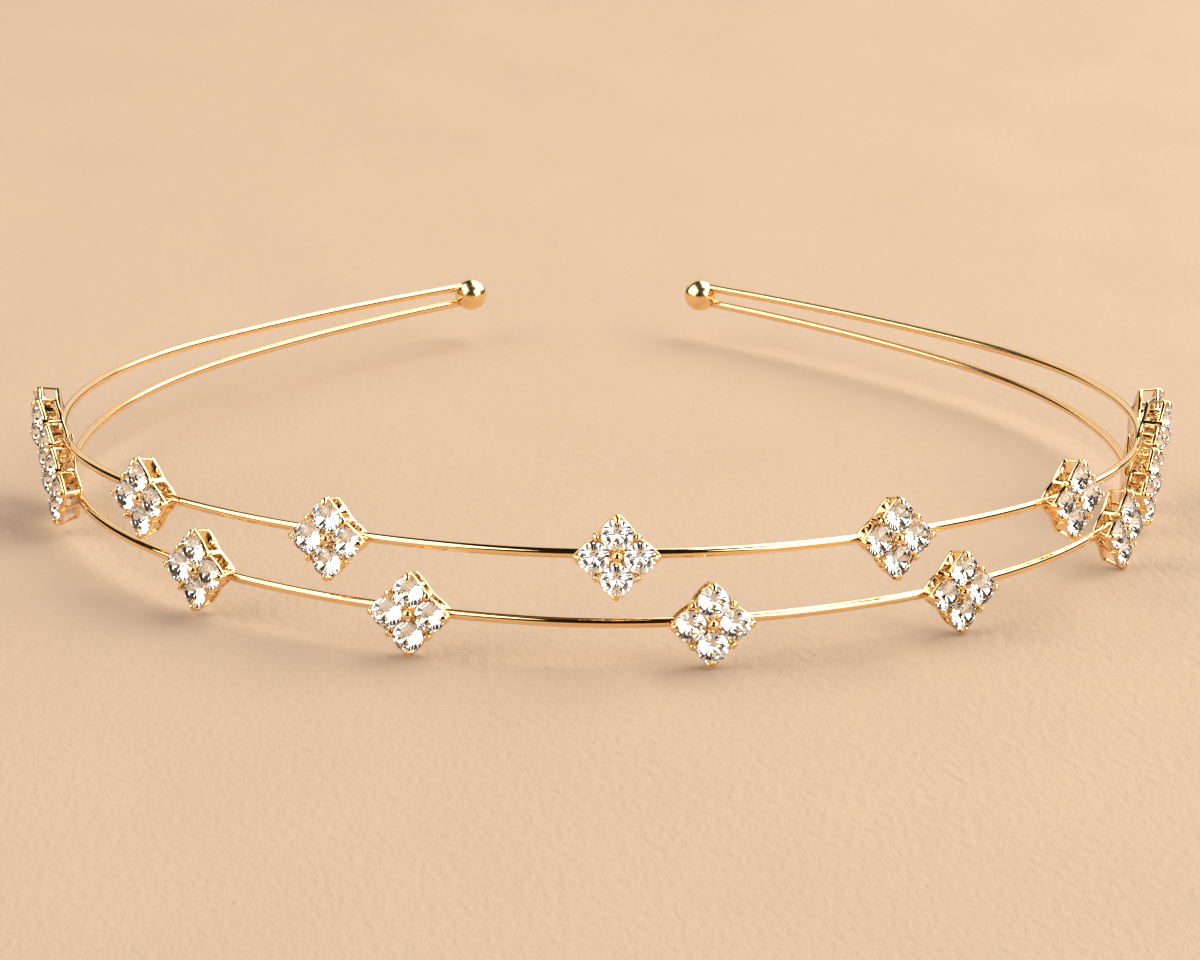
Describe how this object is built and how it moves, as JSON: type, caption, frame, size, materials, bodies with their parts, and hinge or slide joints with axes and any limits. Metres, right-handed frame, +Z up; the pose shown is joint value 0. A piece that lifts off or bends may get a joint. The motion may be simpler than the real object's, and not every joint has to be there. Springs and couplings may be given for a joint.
{
  "type": "diadem",
  "caption": "Slim double-wire diadem lying open at the back, with square settings of round stones along both wires and a ball at each end.",
  "frame": {"origin": "centre of the whole piece's outline, on the surface that it lies on", "axes": "+Z up from the table, the middle of the forehead towards -Y, the open back with the two balls towards +Y, the wearer's right hand side when facing it at -X"},
  "size_m": [0.1483, 0.1854, 0.019],
  "materials": {
    "gold": "mirror-polished warm yellow gold plating",
    "stone": "clear cut stone with a silvered back"
  },
  "bodies": {
    "root": {"upper_band": "gold", "lower_band": "gold", "ball_end_left": "gold", "ball_end_right": "gold", "stones_upper_1": "stone", "stones_upper_2": "stone", "stones_upper_3": "stone", "stones_upper_4": "stone", "stones_upper_5": "stone", "stones_upper_6": "stone", "stones_upper_7": "stone", "stones_upper_8": "stone", "stones_upper_9": "stone", "stones_lower_1": "stone", "stones_lower_2": "stone", "stones_lower_3": "stone", "stones_lower_4": "stone", "stones_lower_5": "stone", "stones_lower_6": "stone", "stones_lower_7": "stone", "stones_lower_8": "stone", "stones_lower_9": "stone"}
  },
  "joints": []
}
